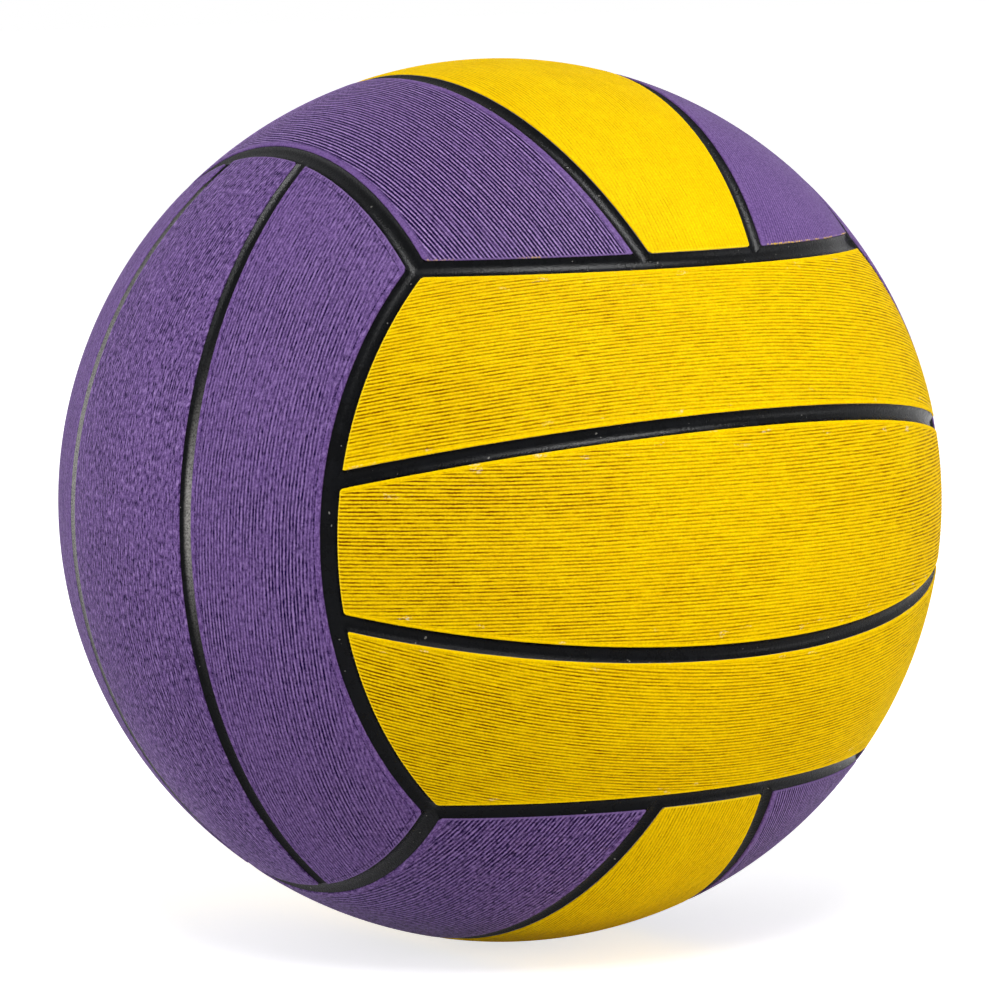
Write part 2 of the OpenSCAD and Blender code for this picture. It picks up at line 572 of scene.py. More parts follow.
@dataclass
class Strip:
    """One ribbed strip of the cover, from its top face to its foot on the carcass."""

    name: str
    face: Face
    place: Place
    ribbing: Ribbing
    wear: Wear
    seed: int
    hole_radius: float = 0.0
    lines_along: int = 150
    lines_across: int = 300
    # Distances of the first few lines from an end and from a long edge, which are rounded
    end_lines: tuple[float, ...] = (0, 0.08 * MM, 0.22 * MM, 0.5 * MM, MM)
    side_lines: tuple[float, ...] = (0, 0.08 * MM, 0.2 * MM, 0.36 * MM)
    # Odd numbers, so that the valve's hole can be cut round the middle line
    foot_lines: tuple[int, int] = (41, 29)
    # Share of the strip's half length and half width that the foot's inner sheet covers
    foot_share: tuple[float, float] = (0.985, 0.97)
    usual_length: float = 185 * MM
    usual_width: float = 50 * MM
    side_round: float = 0.35 * MM
    end_round: float = 0.22 * MM
    corner_round: float = 0.7 * MM
    lip: float = 1.5 * MM
    # Depth and width of the line between the lip and the ribs, and length over which the ribs begin
    lip_line: tuple[float, float] = (0.07 * MM, 0.28 * MM)
    lip_blend: float = 0.5 * MM
    # Power that narrows the grooves, and their greatest depth as a share of the strip's thickness
    narrowing: float = 1.3
    deepest: float = 0.5
    # How far the cut edge wanders from its true line, and over what length
    edge_wander: float = 0.07 * MM
    wander_length: float = 1.7 * MM

    def _shares(self, count: int, length: float, first: Sequence[float]) -> np.ndarray:
        """Spreads grid lines over a length, closer together at both ends.

        Args:
            count: How many lines there are.
            length: Length that they cover.
            first: Distances of the first few lines from the end.

        Returns:
            Places of the lines, from zero to one.
        """
        *near, start = np.array(first) / length
        near = np.array(near)
        inner = np.linspace(start, 1 - start, count - 2 * len(near))
        return np.concatenate([near, inner, 1 - near[::-1]])

    def _surface(self, along: np.ndarray, across: np.ndarray) -> np.ndarray:
        """Finds points of the strip's field.

        Args:
            along: Place along the strip, from -1 to 1.
            across: Place across the strip, from 0 to 1.

        Returns:
            Points, one row each.
        """
        if self.place is Place.MIDDLE:
            turn = 2 * across - 1
            lean, offset = FORM.seam_tilt * turn, -FORM.seam_gap * turn
        else:
            lean = FORM.seam_tilt * (1 - across)
            offset = FORM.seam_gap * (1 - across) + FORM.outer_sine * across
        points = ring_points(lean, offset, ring_reach(lean, offset, FORM.end_cosine) * along)
        if self.place is Place.MINUS:
            points[:, :2] *= -1
        return points

    def _sides(self) -> list[tuple[np.ndarray, float]]:
        """Describes the planes of the strip's two long edges.

        Returns:
            Each plane's normal, which points into the strip, and its offset.
        """
        cosine, sine = math.cos(FORM.seam_tilt), math.sin(FORM.seam_tilt)
        sign = self.place.value
        if self.place is Place.MIDDLE:
            return [(np.array([0, side * cosine, sine]), FORM.seam_gap) for side in (-1, 1)]
        return [
            (np.array([0, sign * cosine, -sine]), FORM.seam_gap),
            (np.array([0, -sign, 0]), -FORM.outer_sine),
        ]

    def _gaps(self, points: np.ndarray) -> tuple[np.ndarray, np.ndarray]:
        """Measures each point's distance from the nearest long edge and the nearest end.

        Args:
            points: Points.

        Returns:
            Distances from a long edge, or the valve's hole, and from an end, in metres.
        """
        side, end = (
            np.min([np.arcsin(points @ normal) - math.asin(offset) for normal, offset in planes], axis=0)
            for planes in (self._sides(), [(np.array([0, 0, 1]), FORM.end_cosine)])
        )
        side = side * FORM.radius
        if self.hole_radius:
            side = np.minimum(side, np.hypot(points[:, 0], points[:, 1]) * FORM.radius - self.hole_radius)
        return side, end * FORM.radius

    def _outward(self, points: np.ndarray) -> list[np.ndarray]:
        """Finds the directions along the surface that lead off the strip.

        Args:
            points: Points.

        Returns:
            Unit directions away from the strip over the nearest long edge, and over an end.
        """
        (first, low), (second, high) = self._sides()
        nearer = (points @ first - low <= points @ second - high)[:, None]
        ways = (-np.where(nearer, first, second), np.array([[0.0, 0.0, -1.0]]))
        return [unit(way - points * np.sum(way * points, axis=1, keepdims=True)) for way in ways]

    def _round_corners(self, points: np.ndarray) -> np.ndarray:
        """Rounds the strip's four corners off, by drawing nearby points inwards.

        Args:
            points: Points.

        Returns:
            The moved points.
        """
        side_way, end_way = self._outward(points)
        out = self.corner_round - np.stack(self._gaps(points), axis=1)
        near = out.min(axis=1) > 0
        share = np.where(near, out.max(axis=1) / np.maximum(np.hypot(*out.T), 1e-9), 1.0)
        shift = out * (share - 1)[:, None] / FORM.radius
        return unit(points + side_way * shift[:, :1] + end_way * shift[:, 1:])

    def _wander_edges(self, points: np.ndarray, rng: np.random.Generator) -> np.ndarray:
        """Lets the cut edges stray a little inside their true lines.

        Args:
            points: Points.
            rng: Source of random numbers.

        Returns:
            The moved points.
        """
        quick, slow = (Drift(rng, self.wander_length * step, 8) for step in (1, 6))
        reach = 3 * self.edge_wander + 0.5 * MM
        # Each of the four edges has a row of its own
        rows = (points[:, 1] > 0, (points[:, 0] > 0) + 2)
        moved = points.copy()
        for gap, way, row, run in zip(self._gaps(points), self._outward(points), rows, points.T):
            run = run * FORM.radius
            stray = 0.6 * quick.at(row, run) + 0.4 * slow.at(row, run)
            moved -= way * (stray * self.edge_wander * bell(gap, reach) / FORM.radius)[:, None]
        return unit(moved)

    def _course(
        self, points: np.ndarray, rng: np.random.Generator
    ) -> tuple[np.ndarray, np.ndarray, np.ndarray]:
        """Lays the ribs over the strip.

        Args:
            points: Points.
            rng: Source of random numbers.

        Returns:
            Distance along the ribs in metres, place across them in ribs, and each groove's depth
            as a share.
        """
        ribs = self.ribbing
        tilt, skew = math.radians(ribs.tilt), math.radians(ribs.skew)
        onward = np.array([math.cos(skew), math.sin(skew), 0])
        sideways = np.array([-math.sin(skew), math.cos(skew), 0]) * (self.place.value or 1)
        outward = np.array([0.0, 0.0, 1.0])
        normal = sideways * math.cos(tilt) - outward * math.sin(tilt)
        ahead = sideways * math.sin(tilt) + outward * math.cos(tilt)
        along = np.arctan2(points @ onward, points @ ahead) * FORM.radius
        across = np.arcsin(points @ normal) * FORM.radius / ribs.pitch
        # All ribs drift together over long stretches, and then each strays by itself
        sway = Drift(rng, ribs.sway_length).over(across / ribs.sway_ribs, along)
        across = across + ribs.sway * (sway - 0.5)
        groove = np.round(across)
        across = across + ribs.waver * (Drift(rng, ribs.waver_length).at(groove, along) - 0.5)
        coarse, fine = (Drift(rng, ribs.break_length / step) for step in (1, 3))
        level = 0.6 * coarse.at(groove, along) + 0.4 * fine.at(groove, along)
        depth = 1 - ribs.breaks * (1 - eased((level - 0.2) / 0.42))
        run = along / (self.usual_length / 2)
        low, middle, high = ribs.clarity
        depth = depth * (middle + np.where(run > 0, high - middle, low - middle) * eased(np.abs(run)))
        patches, spots = (Drift(rng, ribs.smear_length / step) for step in (1, 3))
        smear = 0.65 * patches.over(across / 14, along) + 0.35 * spots.over(across / 5, along)
        depth = depth * (1 - ribs.smear * eased((smear - 0.35) / 0.35))
        if ribs.fade:
            way, offset = self._sides()[1]
            outer = (np.arcsin(points @ way) - math.asin(offset)) * FORM.radius
            depth = depth * (0.35 + 0.65 * eased(outer / ribs.fade))
        return along, across, depth

    def _relief(
        self, across: np.ndarray, depth: np.ndarray, side: np.ndarray, end: np.ndarray
    ) -> np.ndarray:
        """Works out how far each point lies below the ball's true surface.

        Args:
            across: Place across the ribs, in ribs.
            depth: Share of each groove's depth.
            side: Distance from the nearest long edge.
            end: Distance from the nearest end.

        Returns:
            Drops in metres.
        """
        wave = 0.5 + 0.5 * np.cos(2 * math.pi * across)
        line_depth, line_width = self.lip_line
        drop = self.ribbing.depth * depth * wave**self.narrowing
        drop = drop + line_depth * bell(side - self.lip, line_width)
        for gap, radius in ((side, self.side_round), (end, self.end_round)):
            inside = np.clip(radius - gap, 0, radius)
            drop = drop + radius - np.sqrt(radius**2 - inside**2)
        return np.minimum(drop, self.deepest * (FORM.radius - FORM.foot_radius))

    def _sheet(self) -> bpy.types.Object:
        """Models the strip's outer face with its ribs, lips and rounded edges.

        Returns:
            The outer face.
        """
        rng = np.random.default_rng(self.seed)
        run = self._shares(self.lines_along, self.usual_length, self.end_lines)
        cross = self._shares(self.lines_across, self.usual_width, self.side_lines)
        sheet, lines = flat_grid(self.name, len(run), len(cross))
        points = self._surface(2 * run[lines[:, 0]] - 1, cross[lines[:, 1]])
        points = self._wander_edges(self._round_corners(points), rng)
        if self.hole_radius:
            open_hole(points, lines, self.hole_radius)
        side, end = self._gaps(points)
        along, across, depth = self._course(points, rng)
        # The lips have no ribs
        depth = depth * eased((side - self.lip) / self.lip_blend)
        drop = self._relief(across, depth, side, end)
        write_points(sheet.data, self.face.to_ball(points) * (FORM.radius - drop)[:, None])
        write_vectors(sheet.data, RIB_COURSE, along / MM, across, depth)
        inner = (np.minimum(side, end) if self.wear.ends else side) - self.lip
        write_vectors(sheet.data, EDGE_GAPS, inner / MM, end / MM, side / MM)
        write_vectors(sheet.data, STRIP_WEAR, self.wear.border, self.wear.leather, self.wear.marks)
        return sheet

    def _turn_down_edges(self, sheet: bpy.types.Object) -> None:
        """Extrudes the sheet's open edges down to the carcass.

        Args:
            sheet: The strip's outer face.
        """
        with editing(sheet, "EDGE"):
            bpy.ops.mesh.select_all(action="SELECT")
            bpy.ops.mesh.region_to_loop()
            bpy.ops.mesh.extrude_edges_move()
        points = read_points(sheet.data)
        foot = read(sheet.data.vertices, "select", 1, bool).ravel()
        points[foot] = unit(points[foot]) * FORM.foot_radius
        write_points(sheet.data, points)

    def _close_underneath(self, sheet: bpy.types.Object) -> None:
        """Adds a coarser sheet on the carcass and bridges the strip's foot to it.

        Args:
            sheet: The strip's outer face with its edges turned down.
        """
        foot, lines = flat_grid(self.name + "_foot", *self.foot_lines)
        share = (lines / (np.array(self.foot_lines) - 1) * 2 - 1) * self.foot_share
        points = self._surface(share[:, 0], 0.5 + share[:, 1] / 2)
        axis = np.array(self.face.value[2], float)
        if self.hole_radius:
            hole = open_hole(points, lines, self.hole_radius * 1.04)
        write_points(foot.data, self.face.to_ball(points) * FORM.foot_radius)
        if self.hole_radius:
            cut_out(foot, hole)
            off_axis = np.linalg.norm(np.cross(read_points(sheet.data), axis), axis=1)
            cut_out(sheet, off_axis < 0.98 * self.hole_radius)
        join_into(sheet, [foot])
        # The hole's wall is closed first, and then the strip's outer foot
        for inner in ([True, False] if self.hole_radius else [False]):
            starts = read(sheet.data.edges, "vertices", 2, np.int32)[:, 0]
            off_axis = np.linalg.norm(np.cross(read_points(sheet.data)[starts], axis), axis=1)
            at_hole = off_axis < 2.5 * self.hole_radius
            bridge_open_loops(sheet, open_edges(sheet.data) & (at_hole == inner))
        face_outwards(sheet)

    def build(self, rubber: bpy.types.Material, slot: str) -> None:
        """Models the strip and dresses it.

        Args:
            rubber: Material of the strip.
            slot: Name of the record's material slot; not used.
        """
        sheet = self._sheet()
        self._turn_down_edges(sheet)
        self._close_underneath(sheet)
        sheet.name = self.name + "_ribbed"
        dress(sheet, self.name, rubber, crease=55)


class Look(NamedTuple):
    """What the patterns of a finish lead to."""

    # First colour, and the colours laid over it with their shares
    colour: str
    layers: Sequence[tuple[Any, str]]
    roughness: Any
    specular: float
    # Height of the surface in millimetres
    height: Any


@dataclass(frozen=True)
class Finish:
    """A material's name, and the steps that all of the ball's finishes share."""

    name: str

    def _look(self, add: AddNode, place: bpy.types.NodeSocket) -> Look:
        """Adds the finish's own patterns."""
        raise NotImplementedError

    def make(self) -> bpy.types.Material:
        """Builds the material.

        Returns:
            The material.
        """
        made = bpy.data.materials.new(self.name)
        add = empty_nodes(made)
        look = self._look(add, add("TexCoord").outputs["Object"])
        colour = linear(look.colour)
        for share, code in look.layers:
            colour = add("Mix", {0: share, 6: colour, 7: linear(code)}, data_type="RGBA")
        bump = add("Bump", {"Strength": 1.0, "Distance": MM, "Height": look.height})
        shader = add("BsdfPrincipled", {
            "Base Color": colour,
            "Roughness": look.roughness,
            "Specular IOR Level": look.specular,
            "Normal": bump,
        })
        add("OutputMaterial", [shader])
        return made


@dataclass(frozen=True)
class RibbedRubber(Finish):
    """Coloured rubber sheet, vulcanised in a mould against a ribbed liner.

    It gives the eye a matte colour on the ribs with a painted highlight on their tops, a darker one down
    in the grooves which is partly painted shade, beaded where the liner's cloth has pressed through, and a
    leathery grain where the liner has smeared.
    """

    ridge: str
    shade: str
    # Colour in the grooves: the rubber's darker colour there, with painted shade
    groove: str
    # Colour of the flecks, also used for the painted highlight on the ribs' tops
    fleck_and_highlight: str
    # Colours of the cut across an end, of the crumbs stuck in it, and of the painted shade on the wall
    # below the edge
    cut_edge: str
    crumb: str
    wall: str
    # Half of a groove's width in ribs, and how far its colour goes to the groove's own
    groove_width: float
    groove_share: float
    # Shares of the pits' colour, of the painted highlight on the ribs' tops, of scuffs and of crumbs
    pit_share: float
    ridge_highlight: float
    scuff_share: float
    crumb_share: float
    roughness: float
    specular: float
    # Sizes of the grain and of the cloudy colour, and the heights of grain and groove, in millimetres
    grain: float = 0.5
    cloud: float = 8.0
    grain_height: float = 0.07
    groove_height: float = 0.09
    grain_share: float = 0.6
    cloud_share: float = 0.35
    scuff: str = "#f3ead8"
    # How far below the ball's surface the wall's painted shade begins, and over what depth it deepens
    wall_depth: float = 0.32 * MM
    wall_blend: float = 0.06 * MM

    def _look(self, add: AddNode, place: bpy.types.NodeSocket) -> Look:
        """Adds the patterns, most of which follow the ribs and the strip's edges.

        Args:
            add: Adds a node to the material.
            place: Output that gives Object coordinates.

        Returns:
            The finish's colours, roughness and height.
        """
        course, gaps, worn = (
            add("Attribute", attribute_name=name).outputs["Vector"]
            for name in (RIB_COURSE, EDGE_GAPS, STRIP_WEAR)
        )
        run, gap, wear = (add("SeparateXYZ", [vector]).outputs for vector in (course, gaps, worn))
        # Beads of the liner's cloth, two to a millimetre along the ribs; stretches where a groove is
        # deep or nearly closed; pits and flecks; and scuffs, all longer along the ribs than across
        bead, stretch, crinkle, scuff = (
            add("TexNoise", {
                "Vector": add("VectorMath", [course, (*scale, 0.0)], operation="MULTIPLY"),
                "Scale": 1.0, "Detail": detail, "Roughness": rough,
            })
            for scale, detail, rough in (
                ((2.0, 1.0), 1.0, 0.5),
                ((0.22, 1.3), 3.0, 0.6),
                ((0.6, 1.5), 3.0, 0.66),
                ((0.12, 0.3), 3.0, 0.6),
            )
        )
        cloud, grain = (
            add("TexNoise", {
                "Vector": place, "Scale": 1 / (size * MM), "Detail": detail, "Roughness": 0.6,
            })
            for size, detail in ((self.cloud, 4.0), (self.grain, 2.0))
        )
        # Distances from a groove's middle, in ribs, and from the line inside an edge, both beaded
        nearest = add("Math", [run[1]], operation="ROUND")
        off_groove = add("Math", [run[1], nearest], operation="SUBTRACT")
        away, dotted = (
            add("Math", [bead, share, add("Math", [gone], operation="ABSOLUTE")], operation="MULTIPLY_ADD")
            for gone, share in ((off_groove, 0.3), (gap[0], 0.55))
        )
        width = self.groove_width
        line = add("MapRange", [away, width, width - 0.24, 0.0, 1.0], interpolation_type="SMOOTHSTEP")
        depth = add("VectorMath", [place], operation="LENGTH")
        low = FORM.radius - self.wall_depth

        # The grooves' colour is partly painted shade down in them
        groove = share_of(add, line, run[2], (stretch, 0.34, 0.62, 0.6, 1.3), self.groove_share)
        # A fine dark line, dotted by the cloth, where the ribs stop short of an edge
        border = share_of(add, (dotted, 0.52, 0.26, 0.0, 1.0), wear[0])
        pit = share_of(add, (crinkle, 0.5, 0.64, 0.0, self.pit_share), wear[1])
        dark = add("Math", [groove, border], operation="MAXIMUM")
        dark = add("Math", [dark, pit], operation="ADD", use_clamp=True)
        shade = add("Math", [
            share_of(add, (cloud, 0.3, 0.7, 0.0, self.cloud_share)),
            share_of(add, (grain, 0.62, 0.38, 0.0, self.grain_share)),
        ], operation="ADD")
        # Pale flecks, and a painted highlight on the tops of clear ribs
        pale = add("Math", [
            share_of(add, (crinkle, 0.46, 0.34, 0.0, 0.6), wear[1]),
            share_of(add, (away, 0.45, 0.62, 0.0, self.ridge_highlight), run[2]),
        ], operation="MAXIMUM")
        # Pale scuffs along the ribs, in a few places beside a seam
        scuffed = share_of(
            add, (scuff, 0.63, 0.72, 0.0, self.scuff_share), wear[2],
            (grain, 0.45, 0.6, 0.0, 1.0), (gap[2], 5.0, 2.5, 0.0, 1.0),
        )
        # Fresh rubber and crumbs of the next colour show along the cut across a strip's end
        cut = share_of(add, (gap[1], 0.5, 0.25, 0.0, 0.8))
        crumbs = share_of(
            add, (cloud, 0.5, 0.56, 0.0, self.crumb_share), wear[2],
            (grain, 0.48, 0.54, 0.0, 1.0), (gap[1], 0.4, 0.3, 0.0, 1.0),
        )
        # Painted shade on the wall, below the rounded edge
        wall = share_of(add, (depth, low, low - self.wall_blend, 0.0, 1.0))
        height = add("Math", [grain, self.grain_height], operation="MULTIPLY")
        return Look(
            colour=self.ridge,
            layers=(
                (shade, self.shade), (pale, self.fleck_and_highlight), (dark, self.groove), (scuffed, self.scuff),
                (cut, self.cut_edge), (crumbs, self.crumb), (wall, self.wall),
            ),
            roughness=share_of(add, (grain, 0.3, 0.7, self.roughness + 0.08, self.roughness - 0.08)),
            specular=self.specular,
            height=add("Math", [dark, -self.groove_height, height], operation="MULTIPLY_ADD"),
        )


@dataclass(frozen=True)
class PlainRubber(Finish):
    """Black or grey rubber, vulcanised without ribs.

    It gives the eye a deep satin colour with faint flow marks, a fine grain that breaks up its
    highlights, a few pale specks of mould powder, and in some channels a painted highlight.
    """

    colour: str
    bloom: str
    roughness: float
    specular: float
    # Sizes of the flow marks, the grain and the specks, and the grain's height, in millimetres
    cloud: float = 4.0
    grain: float = 0.5
    speck: float = 1.1
    grain_height: float = 0.13
    dust_share: float = 0.7

    def _look(self, add: AddNode, place: bpy.types.NodeSocket) -> Look:
        """Adds flow marks, grain, specks and, in some channels, a pale film that is a painted highlight
        with a dusty grain.

        Args:
            add: Adds a node to the material.
            place: Output that gives Object coordinates.

        Returns:
            The finish's colours, roughness and height.
        """
        cloud, grain, speck = (
            add("TexNoise", {
                "Vector": place, "Scale": 1 / (size * MM), "Detail": detail, "Roughness": rough,
            })
            for size, detail, rough in (
                (self.cloud, 5.0, 0.65), (self.grain, 3.0, 0.6), (self.speck, 1.0, 0.5)
            )
        )
        left = add("SeparateXYZ", [add("Attribute", attribute_name=DUSTY_HIGHLIGHT).outputs["Vector"]])
        return Look(
            colour=self.colour,
            layers=(
                (share_of(add, (cloud, 0.42, 0.75, 0.0, 0.6)), self.bloom),
                # A pale film in some channels: a painted highlight, broken up by the grain
                (share_of(add, left, (grain, 0.32, 0.62, 0.25, 1.0)), "#bdbbb6"),
                (share_of(add, (speck, 0.77, 0.79, 0.0, self.dust_share)), "#8d8b86"),
            ),
            roughness=share_of(add, (cloud, 0.3, 0.7, self.roughness - 0.06, self.roughness + 0.08)),
            specular=self.specular,
            height=share_of(add, grain, self.grain_height),
        )


@dataclass(frozen=True)
class NylonThread(Finish):
    """Nylon thread, wound in thousands of turns all over the bladder.

    It gives the eye pale, slightly shiny threads that lie side by side, in bundles that cross.
    """

    name: str = "wound_nylon_thread"
    thread: str = "#e6e3d6"
    shadow: str = "#8f8a78"
    latex: str = "#c9bd94"
    # Thickness of a thread, and sizes of a bundle's patch, of its bends and of the fuzz, in millimetres
    thickness: float = 0.45
    bundle: float = 26.0
    bend: float = 9.0
    fuzz: float = 0.6

    def _look(self, add: AddNode, place: bpy.types.NodeSocket) -> Look:
        """Adds the threads, the fuzz on them and the latex that holds them.

        Args:
            add: Adds a node to the material.
            place: Output that gives Object coordinates.

        Returns:
            The finish's colours, roughness and height.
        """
        # Each patch has a direction of its own, square to its threads
        patch = add("TexVoronoi", {"Vector": place, "Scale": 1 / (self.bundle * MM)}).outputs["Color"]
        way = add("VectorMath", [patch, (0.5, 0.5, 0.5)], operation="SUBTRACT")
        way = add("VectorMath", [way], operation="NORMALIZE")
        across = add("VectorMath", [place, way], operation="DOT_PRODUCT")
        bend, fuzz = (
            add("TexNoise", {
                "Vector": place, "Scale": 1 / (size * MM), "Detail": detail, "Roughness": rough,
            })
            for size, detail, rough in ((self.bend, 2.0, 0.5), (self.fuzz, 3.0, 0.6))
        )
        turns = add(
            "Math", [across, 1 / (self.thickness * MM), share_of(add, bend, 1.5)], operation="MULTIPLY_ADD"
        )
        top = add("Math", [turns, 0.5], operation="PINGPONG")
        lit = share_of(add, (top, 0.0, 0.28, 0.0, 1.0), (fuzz, 0.2, 0.6, 0.6, 1.0))
        return Look(
            colour=self.thread,
            layers=(
                (share_of(add, (bend, 0.48, 0.62, 0.0, 0.45)), self.latex),
                (add("Math", [1.0, lit], operation="SUBTRACT"), self.shadow),
            ),
            roughness=share_of(add, (fuzz, 0.3, 0.7, 0.42, 0.6)),
            specular=0.4,
            height=share_of(add, top, 0.4),
        )


# The carcass is moulded against polished steel in the channels, so it is the deepest black
CARCASS_RUBBER = PlainRubber("carcass_black_rubber", "#050608", "#101216", 0.27, 0.06)
# The bladder is dusted with talc before it is wound, which greys it
BUTYL_RUBBER = PlainRubber("butyl_bladder_rubber", "#202022", "#4a4946", 0.5, 0.3, cloud=9.0)
# The housing is hard rubber with a smooth moulded skin
HOUSING_RUBBER = PlainRubber("valve_housing_rubber", "#0d0d0e", "#1e1e20", 0.45, 0.2, cloud=3.0)
# The plug is softer and paler than the housing, and is wetted with silicone
PLUG_RUBBER = PlainRubber(
    "valve_plug_rubber", "#1d1d20", "#2d2d31", 0.3, 0.4, cloud=2.0, grain=0.3, grain_height=0.04,
    dust_share=0.0,
)


@dataclass
class Cover:
    """The eighteen strips, in two colours."""

    yellow: RibbedRubber = RibbedRubber(
        name="yellow_ribbed_rubber", ridge="#ffd800", shade="#eebc00", groove="#7c4800",
        fleck_and_highlight="#ffe226", cut_edge="#ffd820", crumb="#ffe226", wall="#6a6480", groove_width=0.5,
        groove_share=0.92, pit_share=0.4, ridge_highlight=0.3, scuff_share=0.8, crumb_share=0.0,
        roughness=0.6, specular=0.008,
    )
    purple: RibbedRubber = RibbedRubber(
        name="purple_ribbed_rubber", ridge="#7d609c", shade="#4f336f", groove="#160634",
        fleck_and_highlight="#b092ce", cut_edge="#7c629a", crumb="#e3bb3a", wall="#1c1528", groove_width=0.52,
        groove_share=1.3, pit_share=0.85, ridge_highlight=1.0, scuff_share=0.0, crumb_share=1.0,
        roughness=0.5, specular=0.025, cloud=13.0, cloud_share=0.22,
    )
    # Each face's strips, from the plus side of its Y axis
    words: dict[Face, tuple[str, str, str]] = field(default_factory=lambda: {
        Face.FRONT: ("upper", "middle", "lower"),
        Face.BACK: ("upper", "middle", "lower"),
        Face.LEFT: ("rear", "middle", "front"),
        Face.RIGHT: ("rear", "middle", "front"),
        Face.TOP: ("left", "middle", "right"),
        Face.BOTTOM: ("right", "middle", "left"),
    })
    # Ribs and wear of each strip that isn't made the usual way
    unusual: dict[str, tuple[Ribbing, Wear]] = field(default_factory=lambda: {
        "front_panel_upper": (
            Ribbing(tilt=15.3, skew=-1.4, clarity=(0.85, 0.6, 0.7)), Wear(0.2, 0.3, 0.6),
        ),
        "front_panel_middle": (
            Ribbing(tilt=1.0, skew=-0.7, clarity=(1.0, 0.65, 0.85)), Wear(0.25, 0.3, 1.0),
        ),
        "front_panel_lower": (
            Ribbing(tilt=19.2, skew=-2.8, clarity=(1.0, 0.7, 0.7)), Wear(0.25, 0.3, 0.8),
        ),
        "top_panel_left": (
            Ribbing(depth=0.2 * MM, tilt=17.6, skew=-3.9, clarity=(1.0, 1.0, 0.8)),
            Wear(0.45, 0.2, 0.6),
        ),
        "top_panel_middle": (
            Ribbing(tilt=-2.3, skew=0.4, clarity=(0.25, 0.4, 0.4)), Wear(0.15, 0.1),
        ),
        "top_panel_right": (Ribbing(tilt=16, clarity=(0.22, 0.3, 0.4)), Wear(0.1, 0.12, 1.0)),
        "left_panel_front": (
            Ribbing(
                pitch=0.92 * MM, tilt=17.6, skew=-3.3, waver=0.24, waver_length=5 * MM,
                clarity=(0.55, 0.6, 0.45), breaks=0.45, smear=0.4, fade=6 * MM,
            ),
            Wear(0.8, 0.65, ends=True),
        ),
        "left_panel_middle": (
            Ribbing(
                pitch=0.95 * MM, tilt=-3.3, skew=-2.5, waver=0.6, waver_length=4 * MM,
                clarity=(0.45, 0.38, 0.42), breaks=0.7, smear=0.6,
            ),
            Wear(0.15, 1.0),
        ),
        "left_panel_rear": (
            Ribbing(
                pitch=0.92 * MM, tilt=14, waver=0.5, waver_length=4 * MM, clarity=(0.35, 0.35, 0.35),
            ),
            Wear(0.1, 0.5),
        ),
        "bottom_panel_left": (
            Ribbing(pitch=0.95 * MM, tilt=20, skew=3, clarity=(0.65, 0.65, 0.65)), Wear(0.3, 0.9),
        ),
        "bottom_panel_middle": (Ribbing(clarity=(0.5, 0.5, 0.5)), Wear()),
        "bottom_panel_right": (Ribbing(tilt=20, clarity=(0.75, 0.75, 0.75)), Wear()),
    })
    usual_tilt: float = 17
    usual_clarity: tuple[float, float, float] = (0.8, 0.7, 0.8)
    yellow_lip: float = 0.9 * MM
    outer_lines: int = 290
    valve_strip: str = "back_panel_middle"
    valve_hole: float = 4.65 * MM
    first_seed: int = 100

    def build(self) -> None:
        """Models and dresses every strip."""
        yellow, purple = (self.yellow.make(), "yellow_rubber"), (self.purple.make(), "purple_rubber")
        rows = [(face, *row) for face, words in self.words.items() for row in zip(words, Place)]
        for seed, (face, word, place) in enumerate(rows, self.first_seed):
            name = f"{face.name.lower()}_panel_{word}"
            middle = place is Place.MIDDLE
            usual = Ribbing(tilt=0 if middle else self.usual_tilt, clarity=self.usual_clarity)
            strip = Strip(name, face, place, *self.unusual.get(name, (usual, Wear())), seed)
            if not middle:
                strip.lines_across = self.outer_lines
            if name == self.valve_strip:
                strip.hole_radius = self.valve_hole
            if face in (Face.FRONT, Face.BACK) or (middle and face in (Face.TOP, Face.BOTTOM)):
                strip.lip = self.yellow_lip
                strip.build(*yellow)
            else:
                strip.build(*purple)


